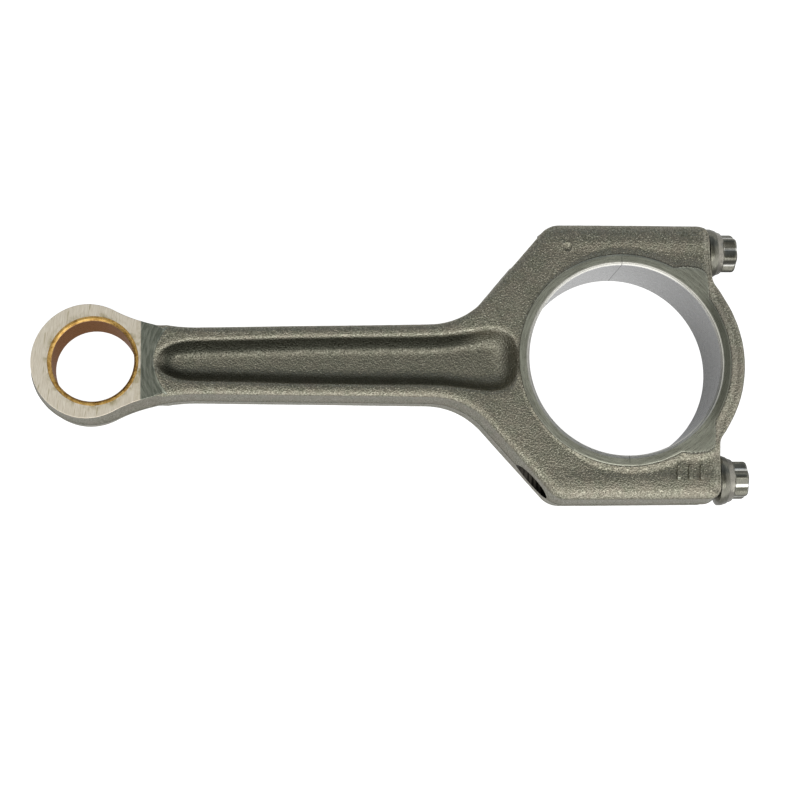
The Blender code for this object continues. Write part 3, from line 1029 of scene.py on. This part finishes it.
# Where each zone of the steel starts and where it is full, by x, by distance from the middle planes
# or by distance from the bore's axis.
steelZones = {
    "channelTipX": (-128.0, -126.5), "channelEndX": (-29.0, -31.0), "channelY": (9.2, 8.6),
    "channelZ": (8.3, 7.3), "wallZ": (3.88, 4.75), "wallEndX": (-37.0, -46.0),
    "wallTipX": (-127.5, -124.5), "wallY": (-6.0, 0.0), "flashZ": (0.55, 0.2),
    "flashRadius": (28.0, 31.0), "crownX": (19.0, 26.0), "crownY": (20.0, 15.0),
    "groundZ": (10.13, 10.17), "groundX": (-34.0, -32.0), "chamferRadius": (27.47, 27.43),
    "boreRadius": (26.56, 26.52), "millingEdge": (0.15, 0.0), "eyePlane": (-0.1, -0.05),
    "stainX": (-133.6, -131.8), "stainRadius": (14.0, 12.3), "seamX": (0.14, 0.05),
    "seamRadius": (29.4, 27.6), "stepShadeTopZ": (10.16, 10.1), "stepShadeFootZ": (9.96, 10.04),
    "stepShadeX": (-31.0, -29.0), "dashX": (11.5, 12.5), "dashY": (27.9, 28.4),
}


# The steel of rod and cap, by zone: forging skin, ground ring and lands, bore and its chamfer, milled
# flat, wedge-shaped eye face. Every zone is found from where a point lies on the part.
def makeRodSteel(name, seed):
    look = steelLook
    material, tree, shader = newMaterial(name)

    def within(value, zone, most=1.0):
        return ramped(tree, value, *steelZones[zone], 0.0, most)

    x, y, z = partsOf(tree, partPlace(tree))
    high = mathOf(tree, "ABSOLUTE", z)
    aside = mathOf(tree, "ABSOLUTE", y)
    radius = distanceOf(tree, x, y)

    grain = group(tree, grainGroup, {"Grain Size": look["grainSize"], "Seed": seed})
    colour = blended(tree, grain["Grain"], look["skinDark"], look["skinLight"])
    colour = blended(tree, times(tree, grain["Drift"], look["warmShare"]), colour, look["skinWarm"])
    pitted = ramped(tree, grain["Pits"], 0.35, 0.0, 0.0, look["pitShare"])
    colour = blended(tree, pitted, colour, look["skinDark"])
    rough = ramped(tree, grain["Grain"], 0.0, 1.0, *look["skinRoughness"])

    # Channel floor and wall painted darker as shade in the recess, the wall darkest on the +y side, and
    # the parting line
    channelShade = times(tree, within(x, "channelTipX"), within(x, "channelEndX"))
    channelShade = times(tree, channelShade, within(aside, "channelY"), within(high, "channelZ"))
    colour = blended(tree, times(tree, channelShade, look["channelShadeShare"]), colour, look["channelShadeTone"])
    wall = times(tree, channelShade, within(high, "wallZ"), within(x, "wallEndX"), within(x, "wallTipX"))
    wall = times(tree, wall, within(y, "wallY"), look["channelWallShadeShare"])
    colour = blended(tree, wall, colour, look["channelWallShadeTone"])
    flash = times(tree, within(high, "flashZ"), within(radius, "flashRadius"), look["flashShare"])
    colour = blended(tree, flash, colour, look["flashTone"])

    # Ground ring and lands, and the bore
    lay = group(tree, layGroup, {"Centre X": 0.0, "Across": 7.0, "Along": 14.0})
    groundTone = blended(tree, lay["Streaks"], look["groundDark"], look["ground"])
    # Painted shade: the ground ring is darkened over the cap's crown, where it turns away from the
    # light.
    crownShade = times(tree, within(x, "crownX"), within(aside, "crownY"), look["crownShadeShare"])
    groundTone = blended(tree, crownShade, groundTone, look["crownGroundShade"])
    ground = times(tree, within(high, "groundZ"), within(x, "groundX"))
    boreTone = blended(tree, times(tree, lay["Lay"], look["boreShare"]), look["bored"], look["ground"])
    chamfer = within(radius, "chamferRadius")

    # Milled flat, up to a parabola of y on one side and the eye's wedge on the other
    eyeHalf = forging["eyeHalf"]
    wedgeX = milling["fromX"]
    blend = 0.12
    pinLay = group(tree, layGroup, {"Centre X": -112.0, "Across": 6.0, "Along": 20.0})
    past = plus(tree, milling["toX"], times(tree, times(tree, y, y), milling["curve"]))
    milled = within(minus(tree, x, past), "millingEdge")
    milled = times(tree, milled, ramped(tree, x, wedgeX - blend, wedgeX + blend))
    milled = times(tree, milled, ramped(tree, high, eyeHalf - blend, eyeHalf - 0.5 * blend))
    milledTone = blended(tree, pinLay["Streaks"], look["milled"], look["milledLight"])

    # Eye face, brightly ground and stained towards the bush and the step
    lean = math.tan(math.radians(forging["eyeTaper"]))
    plane = plus(tree, times(tree, x, lean), eyeHalf - wedgeX * lean)
    eyeFace = within(minus(tree, high, plane), "eyePlane")
    eyeFace = times(tree, eyeFace, ramped(tree, x, wedgeX + blend, wedgeX - blend))
    grind = group(tree, grindGroup, {"Turn": 0.12, "Across": 5.0, "Along": 0.35})
    eyeTone = blended(tree, grind["Marks"], look["champagneDark"], look["champagne"])
    scratched = times(tree, grind["Scratches"], look["scratchShare"])
    eyeTone = blended(tree, scratched, eyeTone, look["stain"])
    fromPin = distanceOf(tree, minus(tree, x, pinX), y)
    nearEdge = plus(tree, within(x, "stainX", 0.55), within(fromPin, "stainRadius", 0.9))
    eyeTone = blended(tree, times(tree, nearEdge, grind["Stain"]), eyeTone, look["stain"])

    for share, tone in (
        (milled, milledTone),
        (eyeFace, eyeTone),
        (ground, groundTone),
        (chamfer, look["chamfer"]),
        (within(radius, "boreRadius"), boreTone),
    ):
        colour = blended(tree, share, colour, tone)

    # The hairline of the fracture, and painted shade along the cut step round ring and lands, which
    # stops at the dashes
    hairline = within(mathOf(tree, "ABSOLUTE", x), "seamX", look["seamShare"])
    seam = times(tree, hairline, within(radius, "seamRadius"))
    colour = blended(tree, seam, colour, look["seam"])
    byDashes = times(tree, within(x, "dashX"), within(aside, "dashY"))
    stepShade = times(tree, within(high, "stepShadeTopZ"), within(high, "stepShadeFootZ"), within(x, "stepShadeX"))
    stepShade = times(tree, stepShade, minus(tree, 1.0, byDashes), look["stepShadeShare"])
    colour = blended(tree, stepShade, colour, look["seam"])

    smoothed = greatest(tree, ground, chamfer, milled, eyeFace)
    cutRough = ramped(tree, lay["Lay"], 0.0, 1.0, *look["cutRoughness"])
    cutRough = plus(tree, cutRough, times(tree, eyeFace, look["eyeRougher"]))
    marks = times(tree, plus(tree, lay["Lay"], grind["Marks"]), look["markDepth"], smoothed)
    height = plus(tree, times(tree, grain["Height"], minus(tree, 1.0, smoothed)), marks)
    values = {
        "Base Color": colour,
        "Roughness": mixed(tree, smoothed, rough, cutRough),
        "Normal": bumped(tree, height, look["skinBump"]),
    }
    fill(tree, shader, values)
    return material


brokenLook = {"dark": (0.22, 0.22, 0.215), "light": (0.62, 0.62, 0.60), "bump": 0.16}


# The broken faces: bright crystalline grains.
def makeBrokenSteel():
    look = brokenLook
    material, tree, shader = newMaterial("brokenFaceSteel")
    place = partPlace(tree)
    cells = put(tree, "ShaderNodeTexVoronoi", {"Vector": place, "Scale": 2.6})
    grain = noiseAt(tree, place, 1.6, 4.0, 0.7, 0.6)
    tone = put(tree, "ShaderNodeSeparateColor", {0: cells.outputs["Color"]}).outputs[0]
    values = {
        "Base Color": blended(tree, tone, look["dark"], look["light"]),
        "Roughness": ramped(tree, grain, 0.2, 0.8, 0.3, 0.6),
        "Normal": bumped(tree, plus(tree, grain, times(tree, tone, 0.5)), look["bump"]),
    }
    fill(tree, shader, values)
    return material


# Near-black tones that paint the shade inside the bolt holes.
holeShadeLook = {"dark": (0.02, 0.018, 0.015), "light": (0.06, 0.055, 0.046), "bump": 0.08}


# Inside the bolt holes: cut threads, with a near-black base colour that paints the shade inside the
# holes.
def makeHoleShadeSteel():
    look = holeShadeLook
    material, tree, shader = newMaterial("boltHoleShadeSteel")
    x = partsOf(tree, partPlace(tree))[0]
    wave = mathOf(tree, "SINE", times(tree, x, 2.0 * math.pi / bolt["pitch"]))
    shadeMottle = noiseAt(tree, partPlace(tree), 1.1, 3.0, 0.6)
    values = {
        "Base Color": blended(tree, shadeMottle, look["dark"], look["light"]),
        "Roughness": ramped(tree, shadeMottle, 0.2, 0.8, 0.4, 0.6),
        "Normal": bumped(tree, wave, look["bump"]),
    }
    fill(tree, shader, values)
    return material


bushLook = {
    "gold": (0.50, 0.29, 0.075),
    "goldLight": (0.72, 0.48, 0.17),
    "goldDark": (0.24, 0.13, 0.04),
    "bore": (0.27, 0.165, 0.11),
    "boreLight": (0.36, 0.23, 0.17),
    "edge": (0.62, 0.42, 0.30, 1.0),
    "bump": 0.006,
}


# Bush: golden bronze on its ends, a mauve-brown finely bored wall inside.
def makeBushBronze():
    look = bushLook
    material, tree, shader = newMaterial("bushBronze")
    x, y, z = partsOf(tree, partPlace(tree))
    radius = distanceOf(tree, minus(tree, x, pinX), y)
    lay = group(tree, layGroup, {"Centre X": pinX, "Across": 8.0, "Along": 10.0})["Lay"]
    stain = noiseAt(tree, partPlace(tree), 0.7, 4.0, 0.65, 0.6)
    gold = blended(tree, ramped(tree, stain, 0.35, 0.7), look["gold"], look["goldLight"])
    gold = blended(tree, ramped(tree, stain, 0.48, 0.3, 0.0, 0.8), gold, look["goldDark"])
    wall = ramped(tree, radius, bush["inner"] + 0.1, bush["inner"] + 0.02)
    values = {
        "Base Color": blended(tree, wall, gold, blended(tree, lay, look["bore"], look["boreLight"])),
        "Specular Tint": look["edge"],
        "Roughness": ramped(tree, lay, 0.0, 1.0, 0.24, 0.4),
        "Normal": bumped(tree, lay, look["bump"]),
    }
    fill(tree, shader, values)
    return material


boltLook = {
    "steel": (0.22, 0.215, 0.18),
    "steelDark": (0.13, 0.127, 0.105),
    # Painted highlight: the pale tone laid in the head's flutes.
    "fluteHighlight": (0.80, 0.79, 0.74),
    "cone": (0.46, 0.43, 0.38),
    "coneDark": (0.20, 0.195, 0.165),
    "coneShare": 0.8,
    "thread": (0.23, 0.225, 0.21),
    "stain": (0.16, 0.155, 0.135),
    "roughness": (0.15, 0.26),
    "bump": 0.012,
}


# Bolts: rolled and phosphated steel, with a painted highlight in the head's flutes and a beige turned
# cone.
def makeBoltSteel(name, side):
    look = boltLook
    material, tree, shader = newMaterial(name)
    x, y, z = partsOf(tree, partPlace(tree))
    along = minus(tree, x, forging["boltSeatX"])
    turn = mathOf(tree, "ARCTAN2", z, minus(tree, y, side * forging["boltY"]))
    marks = roundPlace(tree, times(tree, along, 6.0), turn, 5.0)
    lay = ramped(tree, noiseAt(tree, marks, 1.0, 3.0, 0.6), 0.3, 0.7)
    blotch = noiseAt(tree, partPlace(tree), 0.8, 4.0, 0.65, 0.5)
    grain = group(tree, grainGroup, {"Grain Size": 0.25, "Seed": 7.0 + side})
    colour = blended(tree, lay, look["steel"], look["steelDark"])
    onCone = times(tree, ramped(tree, along, 2.4, 2.6), ramped(tree, along, 4.4, 4.1), look["coneShare"])
    colour = blended(tree, onCone, colour, blended(tree, blotch, look["coneDark"], look["cone"]))
    # Painted highlight: a pale stripe down the middle of each flute of the head.
    fromCrest = minus(tree, turn, math.radians(boltCrests[side]))
    lobe = mathOf(tree, "COSINE", times(tree, fromCrest, bolt["lobes"]))
    fluteHighlight = times(tree, ramped(tree, lobe, -0.72, -0.97), ramped(tree, along, 4.3, 4.8))
    colour = blended(tree, fluteHighlight, colour, look["fluteHighlight"])
    colour = blended(tree, ramped(tree, blotch, 0.52, 0.72, 0.0, 0.7), colour, look["stain"])
    colour = blended(tree, ramped(tree, along, 0.02, -0.02), colour, look["thread"])
    height = plus(tree, lay, times(tree, grain["Height"], 0.8))
    values = {
        "Base Color": colour,
        "Roughness": ramped(tree, lay, 0.0, 1.0, *look["roughness"]),
        "Normal": bumped(tree, height, look["bump"]),
    }
    fill(tree, shader, values)
    return material


# Faces of rod and cap by material: the skin and its zones, the broken face, and the bolt holes.
def sortFaces(item):
    f = forging
    mesh = item.data
    x, y, z = (rowsOf(mesh.polygons, "center") / toMetres - bigEndPlace).T
    normalX = np.abs(rowsOf(mesh.polygons, "normal")[:, 0])
    broken = (np.abs(x) < 0.5) & (normalX > 0.55)
    fromBolt = np.hypot(np.abs(y) - f["boltY"], z)
    hole = (fromBolt < f["boltHoleRadius"] + 0.01) & (normalX < 0.3)
    index = np.where(hole, 2, np.where(broken, 1, 0)).astype(np.int32)
    mesh.polygons.foreach_set("material_index", index)
    mesh.update()


rodPoints, rodQuads = buildRodBody()
rodPoints[:, 2] += dimpleHeights(rodPoints)
rodBody = finishedObject("rodBody", breakFaces(rodPoints, -1.0), rodQuads)
lifted(rodBody, forgingLumps)
capPoints, capQuads = buildBearingCap()
bearingCap = finishedObject("bearingCap", breakFaces(capPoints, 1.0), capQuads)
lifted(bearingCap, forgingLumps)
cutHoles(rodBody, -forging["boltHoleReach"], 2.0)
cutHoles(bearingCap, -2.0, forging["boltHoleReach"])
addDashes(bearingCap)
bushBody = finishedObject("smallEndBush", *buildBush())
boltUpper = finishedObject("capBoltUpper", *buildBolt(1.0))
boltLower = finishedObject("capBoltLower", *buildBolt(-1.0))
shared = [makeBrokenSteel(), makeHoleShadeSteel()]
for item, steel in (
    (rodBody, makeRodSteel("forgedRodSteel", 0.0)),
    (bearingCap, makeRodSteel("forgedCapSteel", 13.0)),
):
    for material in (steel, *shared):
        item.data.materials.append(material)
    sortFaces(item)
bushBody.data.materials.append(makeBushBronze())
boltUpper.data.materials.append(makeBoltSteel("boltSteelUpper", 1.0))
boltLower.data.materials.append(makeBoltSteel("boltSteelLower", -1.0))
print("materials made")
for item, body, node, slot in (
    (rodBody, "rod", "rod_body", "forged_rod"),
    (bearingCap, "cap", "bearing_cap", "forged_cap"),
    (bushBody, "rod", "small_end_bush", "bush_bronze"),
    (boltUpper, "bolt_upper", "cap_bolt_upper", "bolt_steel"),
    (boltLower, "bolt_lower", "cap_bolt_lower", "bolt_steel"),
):
    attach(item, body)
    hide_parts(node)

view = {
    "place": (-0.04213, -0.09266, 0.50733),
    "forward": (0.0874, 0.1853, -0.9788),
    "up": (0.0001, 0.9825, 0.1860),
    "lens": 82.82,
    "sensor": 36.0,
    "shift": (0.00125, -0.0491),
    "clip": (0.01, 20.0),
}


def makeCamera():
    data = bpy.data.cameras.new("camera")
    data.lens = view["lens"]
    data.sensor_width = view["sensor"]
    data.shift_x, data.shift_y = view["shift"]
    data.clip_start, data.clip_end = view["clip"]
    forward = Vector(view["forward"]).normalized()
    right = forward.cross(Vector(view["up"])).normalized()
    up = right.cross(forward).normalized()
    turn = Matrix((right, up, -forward)).transposed().to_4x4()
    item = addObject("camera", data)
    item.matrix_world = Matrix.Translation(Vector(view["place"])) @ turn
    bpy.context.scene.camera = item


light = {
    "overhead": 0.24,
    "overheadTint": (1.0, 1.0, 0.93),
    "horizon": 0.95,
    "frontGain": 0.75,
    "backLoss": 0.55,
    "backTint": (0.86, 0.93, 1.0),
    "leftGain": 0.64,
    "leftLowLoss": 0.88,
    "rightGain": 0.2,
    "boxPlace": (0.18, -0.34, 0.50),
    "boxSize": (0.26, 0.18),
    "boxPower": 0.29,
}


# Surroundings of a pale studio: bright low down, dimmer overhead, brightest in front and dull behind.
def makeSurroundings():
    world = bpy.data.worlds.new("studio")
    world.use_nodes = True
    tree = world.node_tree
    x, y, up = partsOf(tree, put(tree, "ShaderNodeTexCoord").outputs["Generated"])
    level = ramped(tree, up, 0.45, 0.97, light["horizon"], light["overhead"])
    front = ramped(tree, y, -0.05, -0.5, 0.0, light["frontGain"])
    back = times(tree, ramped(tree, y, 0.22, 0.55), ramped(tree, up, 0.05, 0.35))
    left = ramped(tree, x, -0.05, -0.2, 0.0, light["leftGain"])
    left = times(tree, left, ramped(tree, up, 0.6, 0.85))
    leftLow = times(tree, ramped(tree, x, -0.35, -0.72), ramped(tree, up, 0.5, 0.3))
    right = times(tree, ramped(tree, x, 0.6, 0.85), light["rightGain"])
    level = plus(tree, level, front, left, right)
    for share, loss in ((back, "backLoss"), (leftLow, "leftLowLoss")):
        level = times(tree, level, minus(tree, 1.0, times(tree, share, light[loss])))
    tint = blended(tree, ramped(tree, up, 0.6, 0.9), (1.0, 1.0, 1.0), light["overheadTint"])
    tint = blended(tree, back, tint, light["backTint"])
    fill(tree, tree.nodes["Background"], {"Color": tint, "Strength": level})
    bpy.context.scene.world = world


# A wide soft box in front of the part and above it.
def makeSoftBox():
    data = bpy.data.lights.new("softBox", "AREA")
    data.shape = "RECTANGLE"
    data.size, data.size_y = light["boxSize"]
    data.energy = light["boxPower"]
    item = addObject("softBox", data)
    item.location = light["boxPlace"]
    item.rotation_euler = Vector(light["boxPlace"]).to_track_quat("Z", "Y").to_euler()


floor = {
    "size": 3.0,
    "below": 0.0002,
    "paint": ((0.27, 0.27, 0.27), (0.3, 0.3, 0.3)),
    "roughness": 0.9,
    "white": 1.0,
    "glow": 0.42,
    # Painted shadow: the floor's glow falls to this low level round a point at the right end of the cap.
    "paintedShadow": 0.10,
    "paintedShadowPlace": (0.1, 0.0, 0.0),
    "farGlow": 0.6,
}


# Floor: lit to white for the eye, and glowing greyer in what the steel reflects of it and in the light
# it casts, least to the right, where a painted shadow dips the glow round a point at the right end of
# the cap.
def makeFloor():
    shape = bmesh.new()
    bmesh.ops.create_grid(shape, x_segments=1, y_segments=1, size=floor["size"])
    item = addObject("paleFloor", newMesh("paleFloor", shape))
    item.location = (0.0, 0.0, -floor["below"])
    material, tree, shader = newMaterial("paleFloorPaint", metallic=0.0)
    place = put(tree, "ShaderNodeTexCoord").outputs["Object"]
    away = {0: place, 1: floor["paintedShadowPlace"]}
    away = put(tree, "ShaderNodeVectorMath", away, operation="DISTANCE").outputs["Value"]
    # Painted shadow: the glow falls low round this point.
    shadowedGlow = ramped(tree, away, 0.012, 0.05, floor["paintedShadow"], floor["glow"])
    far = ramped(tree, away, 0.2, 0.9, 0.0, floor["farGlow"])
    seen = put(tree, "ShaderNodeLightPath").outputs["Is Camera Ray"]
    values = {
        "Base Color": blended(tree, noiseAt(tree, place, 40.0, 3.0), *floor["paint"]),
        "Roughness": floor["roughness"],
        "Emission Color": (1.0, 1.0, 1.0, 1.0),
        "Emission Strength": mixed(tree, seen, plus(tree, shadowedGlow, far), floor["white"]),
    }
    fill(tree, shader, values)
    item.data.materials.append(material)


makeCamera()
makeSoftBox()
makeSurroundings()
makeFloor()
bpy.context.scene.view_settings.view_transform = "Standard"
print("light and floor made")
